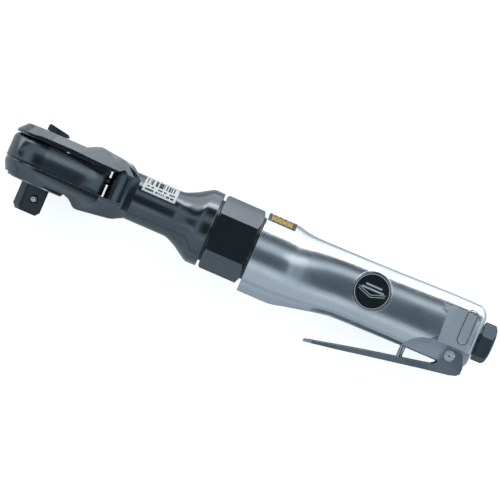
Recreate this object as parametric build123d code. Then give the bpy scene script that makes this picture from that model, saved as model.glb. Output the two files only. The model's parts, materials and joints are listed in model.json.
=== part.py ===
from build123d import *
import math
import os

# A pneumatic ratchet wrench with a 1/2 in square drive, lying on its side.
# +X runs along the tool from the drive to the air inlet, +Y points to the reverse knob
# (the square drive and the throttle lever point to -Y) and +Z is up.
# The origin is where the drive axis crosses the tool's centreline. Lengths are millimetres.

# ---- driving dimensions ----
DRIVE_SQUARE = 12.7
DRIVE_TURN = 21.6
DRIVE_TIP_Y = -30.4
DRIVE_ROOT_Y = -15.8
DETENT_Y = -22.3

HEAD_HALF_WIDTH = 20.6
LEAN_ABOVE = 9.2
LEAN_BELOW = -9.0
SLOT_BOTTOM = -6.8
SLOT_TOP = 7.6
SLOT_END = 35.2
BOSS_RADIUS = 9.5
BOSS_CORNER_Z = 4.3
PLATE_TOP = 13.9
PLATE_BOTTOM = -13.9
NECK_RADIUS = 12.75
NECK_BORE = 7.5
FLARE_RADIUS = 20.6
FLARE_END = 94.2
GEAR_BORE = 14.6

YOKE_RADIUS = 17.5
YOKE_CENTRE_X = -3.5
YOKE_BOTTOM = -6.7
YOKE_TOP = 7.5
YOKE_CORE_HALF = 9.4
YOKE_END = 33.5
RATCHET_TEETH = 60
RATCHET_TIP = 13.5
RATCHET_ROOT = 14.5

CRANK_THROW = 2.0
CRANK_PIN_RADIUS = 2.0
DRIVE_BUSHING_RADIUS = 3.0
YOKE_SLOT_HALF = DRIVE_BUSHING_RADIUS + 2 * CRANK_THROW + 0.25
JOURNAL_RADIUS = 5.0
WEB_RADIUS = 5.5

GEAR_MODULE = 0.6
SUN_TEETH = 12
PLANET_TEETH = 15
RING_TEETH = 42
PLANETS = 3
PLANET_ORBIT = GEAR_MODULE * (SUN_TEETH + PLANET_TEETH) / 2
CARRIER_RADIUS = 11.8
PLANET_PIN_RADIUS = 1.6
CARRIER_FRONT = 82.9
CARRIER_BACK = 86.6
GEAR_FRONT = 87.6
GEAR_BACK = 95.4

THREAD_RADIUS = 16.4
NUT_FRONT = 95.6
NUT_BACK = 118.3
NUT_CORNER_RADIUS = 20.7
HOUSING_FRONT = 119.6
HOUSING_BACK = 246.3
MOTOR_BORE = 15.0

CYLINDER_FRONT = 115.0
CYLINDER_BACK = 155.0
CHAMBER_RADIUS = 12.0
CHAMBER_OFFSET = 1.4
ROTOR_RADIUS = 10.3
BLADES = 5
BLADE_THICKNESS = 2.0

VALVE_X = 212.4
STEM_RADIUS = 1.6
STEM_TIP_Y = -23.3
VALVE_BORE = 5.6
BUSHING_BORE = 4.0
POPPET_TOP = -1.0
SPRING_TOP = 10.0

LEVER_PIVOT = (236.1, -10.8)
LEVER_HALF_WIDTH = 11.1
LEVER_THICKNESS = 1.6
LEVER_SCREW_RADIUS = 1.85
EAR_INSIDE = LEVER_HALF_WIDTH - LEVER_THICKNESS
BOSS_HALF_WIDTH = EAR_INSIDE - 0.35

INLET_Y = 2.8
INLET_END = 255.5
INLET_THREAD_RADIUS = 5.6
INLET_THREAD_DEPTH = 12.0
INLET_SHANK_RADIUS = 7.9
INLET_PASSAGE_RADIUS = 4.2
AIR_PASSAGE_RADIUS = 5.0

EXHAUST_RADIUS = 2.0
EXHAUST_Y = 12.4
EXHAUST_Z = 7.5

BADGE_CENTRE = (185.1, 4.1)
BADGE_RADIUS = 9.8
BADGE_FACE_Z = 17.4
PAD_FACE_Z = 16.5

RUNNING_GAP = 0.05

PARTS = {}


# ---- helpers ----
def rod_x(radius, x0, x1, y=0.0, z=0.0):
    """A solid cylinder along X."""
    return Pos((x0 + x1) / 2, y, z) * Rot(0, 90, 0) * Cylinder(radius, x1 - x0)


def rod_y(radius, y0, y1, x=0.0, z=0.0):
    """A solid cylinder along Y."""
    return Pos(x, (y0 + y1) / 2, z) * Rot(90, 0, 0) * Cylinder(radius, y1 - y0)


def rod_z(radius, z0, z1, x=0.0, y=0.0):
    """A solid cylinder along Z."""
    return Pos(x, y, (z0 + z1) / 2) * Cylinder(radius, z1 - z0)


def block(x0, x1, y0, y1, z0, z1):
    """A box between two corners."""
    centre = Pos((x0 + x1) / 2, (y0 + y1) / 2, (z0 + z1) / 2)
    return centre * Box(x1 - x0, y1 - y0, z1 - z0)


def turned_x(points, y=0.0):
    """A solid turned about an X axis from (x, radius) points, closed along the axis."""
    outline = [(points[0][0], 0)] + list(points) + [(points[-1][0], 0)]
    face = make_face(Polyline(*outline, close=True))
    return Pos(0, y, 0) * revolve(face, Axis.X)


def side_slab(points, z0, z1):
    """An outline in X and Y, given depth along Z."""
    face = make_face(Polyline(*points, close=True))
    return Pos(0, 0, z0) * extrude(face, z1 - z0)


def plan_plane(y):
    """A plane facing +Y at height y, with its x along X and its y along -Z."""
    return Plane(origin=(0, y, 0), x_dir=(1, 0, 0), z_dir=(0, 1, 0))


def cross_plane(x, y=0.0):
    """A plane facing +X, with its x along +Y and its y along +Z."""
    return Plane(origin=(x, y, 0), x_dir=(0, 1, 0), z_dir=(1, 0, 0))


def toothed(teeth, root, tip, root_share, tip_share, first=0.0):
    """A toothed outline: each share is a tooth's width as part of the tooth pitch."""
    points = []
    for k in range(teeth):
        middle = first + k * 360 / teeth
        steps = ((root, -root_share), (tip, -tip_share), (tip, tip_share), (root, root_share))
        for radius, share in steps:
            a = math.radians(middle + share * 180 / teeth)
            points.append((radius * math.cos(a), radius * math.sin(a)))
    return make_face(Polyline(*points, close=True))


def along_x(face, x0, x1, y=0.0, z=0.0):
    """A flat outline in (Y, Z) given length along X and moved to its place."""
    placed = cross_plane(x0) * face
    return Pos(0, y, z) * extrude(placed, x1 - x0, dir=(1, 0, 0))


def band_x(r0, r1, x0, x1, first, last):
    """A thin band round an X axis between two angles, 90 being +Y and 0 being +Z."""
    ring = rod_x(r1, x0, x1) - rod_x(r0, x0, x1)
    reach = r1 * 3
    a, b = math.radians(first), math.radians(last)
    middle = (a + b) / 2
    points = [(0.0, 0.0)]
    for t in (a, middle, b):
        points.append((reach * math.sin(t), reach * math.cos(t)))
    wedge = make_face(Polyline(*points, close=True))
    return ring & along_x(wedge, x0 - 1, x1 + 1)


def keep(name, shape):
    """Store one node's shape under its name."""
    PARTS[name] = shape


# ---- ratchet head ----
def head_plan():
    """The head from above the knob: round front, straight sides, tapering to the neck."""
    w = HEAD_HALF_WIDTH
    rear = 46.5
    corner = 34.0
    line = Polyline((0, w), (corner, w), (rear, NECK_RADIUS), (rear + 4, NECK_RADIUS))
    back = Line((rear + 4, NECK_RADIUS), (rear + 4, -NECK_RADIUS))
    other = Polyline((rear + 4, -NECK_RADIUS), (rear, -NECK_RADIUS), (corner, -w), (0, -w))
    front = ThreePointArc((0, -w), (-w, 0), (0, w))
    return make_face([line, back, other, front])


def head_side():
    """The head from the side: thin fork plates in front, a deeper block behind them."""
    top = [
        (-22, PLATE_TOP - 0.5), (-8, PLATE_TOP), (18.0, PLATE_TOP), (21.7, 15.9), (25.0, 17.2),
        (40.4, 15.5), (43.5, 14.9), (46.7, 12.75), (50.5, 12.75),
    ]
    bottom = [
        (50.5, -12.75), (48.4, -13.2), (46.4, -14.1), (44.4, -15.3), (42.0, -16.1), (26.0, -18.4),
        (24.2, -18.4), (22.7, -17.6), (21.3, -16.2), (19.6, -14.9), (17.0, PLATE_BOTTOM),
        (-22, PLATE_BOTTOM),
    ]
    return top + bottom


def head_block():
    """The forged block: the side outline trimmed to the plan, which leans in above and below."""
    side = side_slab(head_side(), -30, 30)
    upper = extrude(plan_plane(LEAN_ABOVE) * head_plan(), 9.5, dir=(0, 1, 0), taper=44)
    middle = extrude(plan_plane(LEAN_BELOW) * head_plan(), LEAN_ABOVE - LEAN_BELOW, dir=(0, 1, 0))
    lower = extrude(plan_plane(LEAN_BELOW) * head_plan(), -12, dir=(0, 1, 0), taper=25)
    return side & (upper + middle + lower)


def slot_boss():
    """The rounded boss that closes the slot behind and holds the front of the crank."""
    corner_x = SLOT_END + BOSS_RADIUS
    boss = block(SLOT_END, 60, -20, 20, -BOSS_CORNER_Z, BOSS_CORNER_Z)
    boss += block(corner_x, 60, -20, 20, -BOSS_CORNER_Z - BOSS_RADIUS, BOSS_CORNER_Z + BOSS_RADIUS)
    for z in (-BOSS_CORNER_Z, BOSS_CORNER_Z):
        boss += rod_y(BOSS_RADIUS, -20, 20, x=corner_x, z=z)
    return boss


def fork_slot():
    """The slot across the head for the yoke, with wider side mouths in front of the boss."""
    slot = block(-30, 50, SLOT_BOTTOM, SLOT_TOP, -30, 30)
    mouth = [
        (-24, SLOT_TOP - 1), (-19.5, SLOT_TOP - 0.4), (-6, 9.7), (12, 9.8), (34, 8.9),
        (34, SLOT_BOTTOM), (-24, SLOT_BOTTOM),
    ]
    rear_mouth = [
        (33.5, 8.9), (38, 8.6), (40.9, 11.0), (43.4, 9.2), (44.7, 6.7), (44.2, 1.0),
        (42.8, -2.9), (39, -4.8), (35.1, SLOT_BOTTOM), (33.5, SLOT_BOTTOM),
    ]
    for outline, depth in ((mouth, 16.2), (rear_mouth, YOKE_CORE_HALF)):
        for z0, z1 in ((depth, 30), (-30, -depth)):
            slot += side_slab(outline, z0, z1)
    return slot - slot_boss()


def washer_rim():
    """The low rim round the front of the washer seat."""
    rim = Pos(0, -12.9, 0) * Rot(90, 0, 0) * Cone(18.3, 16.3, 4.8)
    rim -= rod_y(15.05, -20, PLATE_BOTTOM)
    return rim & block(-30, 5, -20, -11, -30, 30)


def make_head():
    """The fork plates, neck, flared end and threaded spigot, in one forging."""
    neck = turned_x([
        (44, NECK_RADIUS), (73, NECK_RADIUS), (75.5, 13.4), (80.3, 15.7), (86.7, 19.8),
        (88.5, FLARE_RADIUS), (93.8, FLARE_RADIUS), (FLARE_END, FLARE_RADIUS - 0.4),
        (FLARE_END, THREAD_RADIUS), (104.0, THREAD_RADIUS), (104.6, THREAD_RADIUS - 0.6),
    ])
    body = head_block() + washer_rim() + neck
    body -= fork_slot()
    body -= rod_x(WEB_RADIUS + 0.25, 30, 42)
    body -= rod_x(NECK_BORE, 40, 84)
    body -= rod_x(GEAR_BORE, CARRIER_FRONT - 0.4, 106)
    body -= rod_y(RATCHET_TIP - 0.2, -20, 0)
    body -= rod_y(8.05, 0, 20)
    return body


keep("ratchet_head", make_head())


# ---- drive end ----
def make_yoke():
    """A ring with fine inner ratchet teeth and a forked tail that the crank rocks."""
    ring = rod_y(YOKE_RADIUS, YOKE_BOTTOM, YOKE_TOP, x=YOKE_CENTRE_X)
    rims = ring.edges().filter_by(GeomType.CIRCLE).sort_by(Axis.Y)
    ring = fillet(rims[-1], 3.2)
    ring = fillet(ring.edges().filter_by(GeomType.CIRCLE).sort_by(Axis.Y)[0], 1.4)
    tail_side = [
        (0, YOKE_TOP - 0.4), (8, 6.9), (16, 6.3), (25, 5.3), (YOKE_END, 4.2),
        (YOKE_END, YOKE_BOTTOM), (0, YOKE_BOTTOM),
    ]
    tail = side_slab(tail_side, -YOKE_RADIUS, YOKE_RADIUS)
    tail += block(0, YOKE_END, YOKE_BOTTOM, YOKE_TOP, -YOKE_CORE_HALF, YOKE_CORE_HALF)
    tail_plan = make_face(Polyline(
        (0, 17.1), (20, 13.6), (YOKE_END - 2, 11.4), (YOKE_END, 9.6),
        (YOKE_END, -9.6), (YOKE_END - 2, -11.4), (20, -13.6), (0, -17.1), close=True))
    tail &= extrude(plan_plane(-20) * tail_plan, 40, dir=(0, 1, 0))
    yoke = ring + tail
    teeth = toothed(RATCHET_TEETH, RATCHET_TIP, RATCHET_ROOT, 0.75, 0.2)
    yoke -= extrude(plan_plane(-20) * teeth, 40, dir=(0, 1, 0))
    yoke -= block(25.2, 40, -20, 20, -YOKE_SLOT_HALF, YOKE_SLOT_HALF)
    return yoke


keep("yoke", make_yoke())

PAWL_RADIUS = 9.2
PAWL_PIN_RADIUS = 1.2
PAWL_TILT = -5.0
PAWL_ANGLES = {"a": 90.0, "b": 270.0}


def pawl_outline():
    """A double-ended pawl, curved outside, centred on its own pin."""
    outer = 12.9 - PAWL_RADIUS
    points = [
        (-4.6, 2.3), (-4.9, 0.6), (-3.4, -1.2), (0, -1.9), (3.4, -1.2), (4.9, 0.6), (4.6, 2.3),
        (2.2, outer - 0.6), (0, outer - 0.3), (-2.2, outer - 0.6),
    ]
    return make_face(Polyline(*points, close=True))


def pawl_pocket():
    """The space in the drive's core for one pawl."""
    points = [(-6.4, 6), (-6.4, -0.2), (-4.0, -2.6), (4.0, -2.6), (6.4, -0.2), (6.4, 6)]
    return make_face(Polyline(*points, close=True))


def at_pawl(face, angle, y0, y1):
    """An outline beside a pawl pin, raised along Y. Angle 90 is towards -Z."""
    spun = Rot(0, 0, angle - 90) * (Pos(0, PAWL_RADIUS) * face)
    return extrude(plan_plane(y0) * spun, y1 - y0, dir=(0, 1, 0))


def make_anvil():
    """The drive spindle: journal, pawl core, upper journal and the square with its detent."""
    core = rod_y(RATCHET_TIP - 0.5, YOKE_BOTTOM + 0.2, YOKE_TOP - 0.2)
    core += rod_y(RATCHET_TIP - 0.25, PLATE_BOTTOM + 0.2, SLOT_BOTTOM)
    core += rod_y(RATCHET_TIP - 0.5, SLOT_BOTTOM - 0.1, YOKE_BOTTOM + 0.3)
    core += rod_y(8.0, YOKE_TOP - 0.3, PLATE_TOP - 0.2)
    for angle in PAWL_ANGLES.values():
        core -= at_pawl(pawl_pocket(), angle, -4.6, 4.8)
        core -= at_pawl(Circle(PAWL_PIN_RADIUS + RUNNING_GAP), angle, -6.6, 6.8)
    core += rod_y(8.6, DRIVE_ROOT_Y, PLATE_BOTTOM + 0.3)
    square = Rectangle(DRIVE_SQUARE, DRIVE_SQUARE)
    square = fillet(square.vertices(), 1.2)
    bar = extrude(plan_plane(-28.2) * (Rot(0, 0, DRIVE_TURN) * square), 14, dir=(0, 1, 0))
    end = extrude(plan_plane(-28.2) * (Rot(0, 0, DRIVE_TURN) * square), 2.2, dir=(0, -1, 0), taper=38)
    anvil = core + bar + end
    anvil -= Pos(0, DETENT_Y, 0) * Rot(0, DRIVE_TURN, 0) * Pos(0, 0, 3.6) * Cylinder(2.25, 7.2)
    anvil -= rod_y(2.2, 8.0, 20)
    return anvil


keep("drive_anvil", make_anvil())

BALL_RADIUS = 2.2


def detent(shape, reach):
    """Something on the line of the detent hole, at a distance from the drive axis."""
    return Pos(0, DETENT_Y, 0) * Rot(0, DRIVE_TURN, 0) * Pos(0, 0, reach) * shape


def coil(radius, wire, turns, length):
    """A round-wire spring along Z, from 0 to length."""
    pitch = (length - 2 * wire) / turns
    path = Pos(0, 0, wire) * Helix(pitch, length - 2 * wire, radius)
    start = path @ 0
    profile = Plane(origin=start, z_dir=path % 0) * Circle(wire)
    return sweep(profile, path)


keep("detent_ball", detent(Sphere(BALL_RADIUS), 5.1))
keep("detent_spring", detent(coil(1.4, 0.3, 3, 2.6), 0.1))
for side, angle in PAWL_ANGLES.items():
    outline = Rot(0, 0, PAWL_TILT) * (pawl_outline() - Circle(PAWL_PIN_RADIUS + RUNNING_GAP))
    keep(f"pawl_{side}", at_pawl(outline, angle, -4.3, 4.5))
    keep(f"pawl_pin_{side}", at_pawl(Circle(PAWL_PIN_RADIUS), angle, -6.0, 6.6))


def make_knob():
    """The reverse knob: a low ribbed cap with a sloping top and a stem into the spindle."""
    cap = rod_y(6.25, PLATE_TOP + 0.35, 18.2)
    for k in range(18):
        a = math.radians(20 * k)
        cap -= rod_y(0.45, PLATE_TOP + 1.2, 19, x=6.4 * math.cos(a), z=6.4 * math.sin(a))
    slope = [
        (-8, 16.4), (-6.3, 16.9), (-5.2, 17.9), (5.2, 16.1), (6.3, 15.2), (8, 14.6),
        (8, 20), (-8, 20),
    ]
    cap -= side_slab(slope, -10, 10)
    cap += rod_y(5.0, PLATE_TOP - 0.1, PLATE_TOP + 0.5)
    cap += rod_y(2.15, 8.4, PLATE_TOP)
    return cap


keep("reverse_knob", make_knob())

washer = rod_y(14.8, -14.95, PLATE_BOTTOM - 0.05) - rod_y(8.9, -16, -13)
keep("thrust_washer", washer)
ring = rod_y(14.2, -15.7, -14.95) - rod_y(10.4, -17, -13)
ring -= block(-20, -8, -17, -13, -1.6, 1.6)
keep("retaining_ring", ring)


# ---- crank and reduction gears ----
def make_crank():
    """The crankshaft: an offset pin in front, a long journal and the planet carrier behind."""
    crank = rod_x(CRANK_PIN_RADIUS, 26.6, 36.5, y=CRANK_THROW)
    crank += rod_x(WEB_RADIUS, 35.6, 39.4)
    crank += rod_x(JOURNAL_RADIUS, 39.0, CARRIER_FRONT + 0.5)
    crank += rod_x(CARRIER_RADIUS, CARRIER_FRONT, CARRIER_BACK)
    for k in range(PLANETS):
        y, z = planet_place(k)
        crank -= rod_x(PLANET_PIN_RADIUS, CARRIER_FRONT + 0.5, CARRIER_BACK + 1, y=y, z=z)
    return crank


def planet_place(k):
    """Where planet k's axis crosses the plane of the gears, the first one being up."""
    a = math.radians(90 + 360 * k / PLANETS)
    return PLANET_ORBIT * math.sin(a), PLANET_ORBIT * math.cos(a)


keep("crankshaft", make_crank())
bush = rod_x(DRIVE_BUSHING_RADIUS, 27.0, 32.6, y=CRANK_THROW)
keep("drive_bushing", bush - rod_x(CRANK_PIN_RADIUS, 25, 36, y=CRANK_THROW))
for name, x0, x1 in (("crank_bushing_front", 40.2, 52.0), ("crank_bushing_rear", 66.0, 80.0)):
    keep(name, rod_x(NECK_BORE, x0, x1) - rod_x(JOURNAL_RADIUS + RUNNING_GAP, x0 - 1, x1 + 1))

RING_PITCH = GEAR_MODULE * RING_TEETH / 2


def outer_gear(teeth, first):
    """The outline of a spur gear with a tooth centred at one angle."""
    pitch = GEAR_MODULE * teeth / 2
    root = pitch - 1.15 * GEAR_MODULE
    tip = pitch + 0.75 * GEAR_MODULE
    return toothed(teeth, root, tip, 0.62, 0.24, first)


for k in range(PLANETS):
    y, z = planet_place(k)
    angle = math.degrees(math.atan2(z, y))
    planet = outer_gear(PLANET_TEETH, angle) - Circle(PLANET_PIN_RADIUS + RUNNING_GAP)
    keep(f"planet_gear_{k + 1}", along_x(planet, GEAR_FRONT, GEAR_BACK, y=y, z=z))
    pin = rod_x(PLANET_PIN_RADIUS, CARRIER_FRONT + 0.5, GEAR_BACK + 0.4, y=y, z=z)
    keep(f"planet_pin_{k + 1}", pin)

gap = 180 / RING_TEETH
ring_root = RING_PITCH + 1.15 * GEAR_MODULE
ring_tip = RING_PITCH - 0.7 * GEAR_MODULE
inner = toothed(RING_TEETH, ring_root, ring_tip, 0.62, 0.24, gap)
ring_gear = Circle(GEAR_BORE) - inner
keep("ring_gear", along_x(ring_gear, GEAR_FRONT - 0.4, GEAR_BACK + 0.8))


# ---- coupling ----
def make_nut():
    """The hexagon coupling nut, corners up and down, with rounded and bevelled ends."""
    hexagon = RegularPolygon(NUT_CORNER_RADIUS, 6)
    nut = along_x(hexagon, NUT_FRONT, NUT_BACK)
    r = NUT_CORNER_RADIUS
    nut &= turned_x([
        (NUT_FRONT, r - 1.2), (NUT_FRONT + 0.5, r - 0.4), (NUT_FRONT + 1.3, r + 0.1),
        (NUT_BACK - 1.3, r + 0.1), (NUT_BACK, r - 2.9),
    ])
    return nut - rod_x(THREAD_RADIUS, NUT_FRONT - 1, NUT_BACK + 1)


keep("coupling_nut", make_nut())
for name, x0, x1, r in (
    ("coupling_ring_front", FLARE_END, NUT_FRONT, 17.2),
    ("coupling_ring_rear", NUT_BACK, HOUSING_FRONT, 17.5),
):
    keep(name, rod_x(r, x0, x1) - rod_x(THREAD_RADIUS, x0 - 1, x1 + 1))


# ---- air motor ----
def bearing(prefix, x0, x1, bore, outer):
    """A ball bearing: two grooved rings, and eight balls in one cage."""
    middle = (x0 + x1) / 2
    centre = (bore + outer) / 2
    ball = (outer - bore) * 0.26
    groove = Pos(middle, 0, 0) * Rot(0, 90, 0) * Torus(centre, ball + 0.06)
    inner_ring = rod_x(centre - 0.8, x0, x1) - rod_x(bore, x0 - 1, x1 + 1) - groove
    outer_ring = rod_x(outer, x0, x1) - rod_x(centre + 0.8, x0 - 1, x1 + 1) - groove
    cage = rod_x(centre + 0.45, x0 + 0.3, x1 - 0.3) - rod_x(centre - 0.45, x0, x1)
    for k in range(8):
        a = math.radians(45 * k)
        cage += Pos(middle, centre * math.sin(a), centre * math.cos(a)) * Sphere(ball)
    keep(f"{prefix}_outer_ring", outer_ring)
    keep(f"{prefix}_balls", cage)
    keep(f"{prefix}_inner_ring", inner_ring)


FRONT_PLATE = (108.2, CYLINDER_FRONT)
REAR_PLATE = (CYLINDER_BACK, 162.0)
BEARING_BORE = 3.6
BEARING_OUTER = 9.5
SHAFT_CLEARANCE_RADIUS = 6.2
END_PORT_RADIUS = 1.8
END_PORT_ORBIT = 12.2
GASKET_BORE = 11.0
bearing("front_bearing", 109.2, 114.2, BEARING_BORE, BEARING_OUTER)
bearing("rear_bearing", 156.0, 161.0, BEARING_BORE, BEARING_OUTER)

plate = rod_x(MOTOR_BORE, *FRONT_PLATE) - rod_x(BEARING_OUTER, 109.2, 114.2)
keep("motor_front_plate", plate - rod_x(SHAFT_CLEARANCE_RADIUS, 100, 120))
plate = rod_x(MOTOR_BORE, *REAR_PLATE) - rod_x(BEARING_OUTER, 156.0, 163)
plate -= rod_x(SHAFT_CLEARANCE_RADIUS, 150, 165)
for a in (210, 330):
    y = END_PORT_ORBIT * math.sin(math.radians(a))
    z = END_PORT_ORBIT * math.cos(math.radians(a))
    plate -= rod_x(END_PORT_RADIUS, 150, 165, y=y, z=z)
keep("motor_rear_plate", plate)

DOWEL_Y = 13.5
DOWEL_RADIUS = 0.8
CYLINDER_PORT_RADIUS = 1.3
cylinder = rod_x(MOTOR_BORE, CYLINDER_FRONT, CYLINDER_BACK)
cylinder -= rod_x(CHAMBER_RADIUS, CYLINDER_FRONT - 1, CYLINDER_BACK + 1, y=-CHAMBER_OFFSET)
for k in range(5):
    cylinder -= rod_y(CYLINDER_PORT_RADIUS, -20, -10, x=123 + 6 * k)
cylinder -= rod_x(DOWEL_RADIUS, CYLINDER_FRONT - 1, CYLINDER_BACK + 1, y=DOWEL_Y)
keep("motor_cylinder", cylinder)
keep("dowel_pin", rod_x(DOWEL_RADIUS, CYLINDER_FRONT + 0.2, CYLINDER_BACK - 0.2, y=DOWEL_Y))


def make_rotor():
    """The rotor, its five blade slots and the pinion on its front shaft."""
    rotor = rod_x(ROTOR_RADIUS, CYLINDER_FRONT + 0.3, CYLINDER_BACK - 0.3)
    rotor += rod_x(BEARING_BORE, GEAR_BACK + 1.4, 161.2)
    pinion = along_x(outer_gear(SUN_TEETH, 0.0), GEAR_FRONT + 0.4, GEAR_BACK + 1.6)
    rotor += pinion
    for k in range(BLADES):
        slot = block(100, 170, 4.9, 12, -BLADE_THICKNESS / 2 - 0.05, BLADE_THICKNESS / 2 + 0.05)
        slot &= rod_x(12, CYLINDER_FRONT, CYLINDER_BACK)
        rotor -= Rot(360 * k / BLADES, 0, 0) * slot
    return rotor


keep("rotor", make_rotor())
for k in range(BLADES):
    blade = block(
        CYLINDER_FRONT + 0.5, CYLINDER_BACK - 0.5, 5.0, ROTOR_RADIUS - 0.1,
        -BLADE_THICKNESS / 2, BLADE_THICKNESS / 2)
    keep(f"rotor_blade_{k + 1}", Rot(360 * k / BLADES, 0, 0) * blade)
gasket = rod_x(MOTOR_BORE - 0.1, 162.0, 163.0) - rod_x(GASKET_BORE, 160, 165)
keep("motor_gasket", gasket)


# ---- handle ----
# Each station: x, top y, bottom y, half width along Z, corner radius, and how much the
# top or bottom and the sides bow (as 1 / radius).
HANDLE_STATIONS = (
    (136.5, 20.8, -23.8, 20.8, 20.70, 1 / 20.8, 1 / 200),
    (141.5, 19.75, -23.0, 20.0, 18.6, 1 / 21.0, 1 / 120),
    (146.0, 19.1, -21.8, 18.9, 15.2, 1 / 24.0, 1 / 80),
    (152.0, 18.9, -20.5, 18.1, 11.5, 1 / 30.0, 1 / 65),
    (160.0, 19.0, -18.7, 17.6, 9.4, 1 / 36.0, 1 / 62),
    (170.0, 19.1, -16.9, 17.3, 8.2, 1 / 42.0, 1 / 62),
    (190.0, 19.4, -16.4, 17.1, 7.6, 1 / 48.0, 1 / 62),
    (210.0, 20.0, -16.1, 17.1, 7.0, 1 / 50.0, 1 / 70),
    (228.0, 20.5, -15.9, 17.3, 6.4, 1 / 60.0, 1 / 90),
)
SECTIONS_PER_SPAN = 3


def smooth_step(values, k, t):
    """A Catmull-Rom value between stations k and k + 1."""
    last = len(values) - 1
    a, b, c, d = (values[min(max(k + i, 0), last)] for i in (-1, 0, 1, 2))
    return b + 0.5 * t * (c - a + t * (2 * a - 5 * b + 4 * c - d + t * (3 * (b - c) + d - a)))


def handle_sections():
    """The stations and the sections between them, with every value running smoothly."""
    columns = list(zip(*HANDLE_STATIONS))
    rows = []
    for k in range(len(HANDLE_STATIONS) - 1):
        for i in range(SECTIONS_PER_SPAN):
            t = i / SECTIONS_PER_SPAN
            x = columns[0][k] + t * (columns[0][k + 1] - columns[0][k])
            rows.append((x,) + tuple(smooth_step(c, k, t) for c in columns[1:]))
    rows.append(HANDLE_STATIONS[-1])
    return rows


def corner_centre(reach_y, radius_y, reach_z, radius_z, corner):
    """The centre of a corner arc that is tangent to a bowed top and a bowed side."""
    top = reach_y - radius_y
    side = reach_z - radius_z
    far = math.hypot(top, side)
    a, b = radius_y - corner, radius_z - corner
    along = (a * a - b * b + far * far) / (2 * far)
    off = math.sqrt(max(a * a - along * along, 0.0))
    uy, uz = -top / far, side / far
    return top + along * uy - off * uz * math.copysign(1, -side), along * uz + off * abs(uy)


def section(x, top, bottom, half, corner, end_bow, side_bow):
    """One section of the handle: bowed top, bottom and sides, joined by tangent corner arcs."""
    middle = (top + bottom) / 2
    reach = (top - bottom) / 2
    radius_y, radius_z = 1 / end_bow, 1 / side_bow
    cy, cz = corner_centre(reach, radius_y, half, radius_z, corner)
    top_y, side_z = reach - radius_y, half - radius_z
    ty, tz = cy - top_y, cz
    sy, sz = cy, cz - side_z
    a = (cy + corner * ty / math.hypot(ty, tz), cz + corner * tz / math.hypot(ty, tz))
    b = (cy + corner * sy / math.hypot(sy, sz), cz + corner * sz / math.hypot(sy, sz))
    my = ty / math.hypot(ty, tz) + sy / math.hypot(sy, sz)
    mz = tz / math.hypot(ty, tz) + sz / math.hypot(sy, sz)
    m = (cy + corner * my / math.hypot(my, mz), cz + corner * mz / math.hypot(my, mz))
    edges = [
        ThreePointArc((a[0], -a[1]), (reach, 0), a), ThreePointArc(a, m, b),
        ThreePointArc(b, (0, half), (-b[0], b[1])),
        ThreePointArc((-b[0], b[1]), (-m[0], m[1]), (-a[0], a[1])),
        ThreePointArc((-a[0], a[1]), (-reach, 0), (-a[0], -a[1])),
        ThreePointArc((-a[0], -a[1]), (-m[0], -m[1]), (-b[0], -b[1])),
        ThreePointArc((-b[0], -b[1]), (0, -half), (b[0], -b[1])),
        ThreePointArc((b[0], -b[1]), (m[0], -m[1]), (a[0], -a[1])),
    ]
    return cross_plane(x, middle) * make_face(edges)


def handle_skin():
    """The outside of the handle: a straight barrel, a waist and a long grip."""
    rows = handle_sections()
    grip = loft([section(*row) for row in rows], ruled=True)
    front = extrude(section(HOUSING_FRONT, *rows[0][1:]), rows[0][0] - HOUSING_FRONT, dir=(1, 0, 0))
    rear = extrude(section(*rows[-1]), HOUSING_BACK - rows[-1][0], dir=(1, 0, 0))
    rear_edges = rear.faces().sort_by(Axis.X)[-1].edges()
    rear = fillet(rear_edges, 5.6)
    return front + grip + rear


def ear_recess(z0, z1):
    """The milled flat beside the lever's hinge, open below and behind."""
    outline = [
        (209.5, -20), (211.4, -13.5), (213.3, -11.3), (215.7, -9.2), (218.9, -7.3), (222.6, -6.3),
        (227, -5.8), (250, -5.8), (250, -20),
    ]
    return side_slab(outline, z0, z1)


def make_housing():
    """The aluminium handle with its motor bore, valve chamber, inlet and outside faces."""
    body = handle_skin()
    body += rod_x(THREAD_RADIUS, 106.0, HOUSING_FRONT + 1)
    body += rod_z(BADGE_RADIUS + 1.0, 8, BADGE_FACE_Z - 0.2, *BADGE_CENTRE)
    pad = [(225.4, 17.4), (226.9, -5.8), (250, -5.8), (250, 17.4)]
    for z0, z1 in ((PAD_FACE_Z, 30), (-30, -PAD_FACE_Z)):
        body -= side_slab(pad, z0, z1)
    for z0, z1 in ((BOSS_HALF_WIDTH, 30), (-30, -BOSS_HALF_WIDTH)):
        body -= ear_recess(z0, z1)
    body -= rod_x(MOTOR_BORE, 105, 163)
    body -= rod_x(9.0, 160, 168)
    body -= rod_x(AIR_PASSAGE_RADIUS, 160, VALVE_X, y=INLET_Y)
    body -= rod_y(VALVE_BORE, -9.0, SPRING_TOP, x=VALVE_X)
    body -= rod_y(BUSHING_BORE, -20, -8, x=VALVE_X)
    body -= rod_x(AIR_PASSAGE_RADIUS, VALVE_X, 230, y=INLET_Y)
    body -= rod_x(INLET_SHANK_RADIUS, 229, 250, y=INLET_Y)
    for z in (-EXHAUST_Z, EXHAUST_Z):
        body -= rod_x(EXHAUST_RADIUS, 160, 250, y=EXHAUST_Y, z=z)
    body -= rod_z(LEVER_SCREW_RADIUS + RUNNING_GAP, -30, 30, *LEVER_PIVOT)
    body -= rod_z(BADGE_RADIUS, BADGE_FACE_Z - 0.7, 30, *BADGE_CENTRE)
    emboss = SlotOverall(19.7, 6.2, rotation=90) - SlotOverall(18.5, 5.0, rotation=90)
    emboss = Pos(238.6, 6.8, PAD_FACE_Z - 0.1) * extrude(emboss, 0.4)
    return body + emboss


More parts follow.
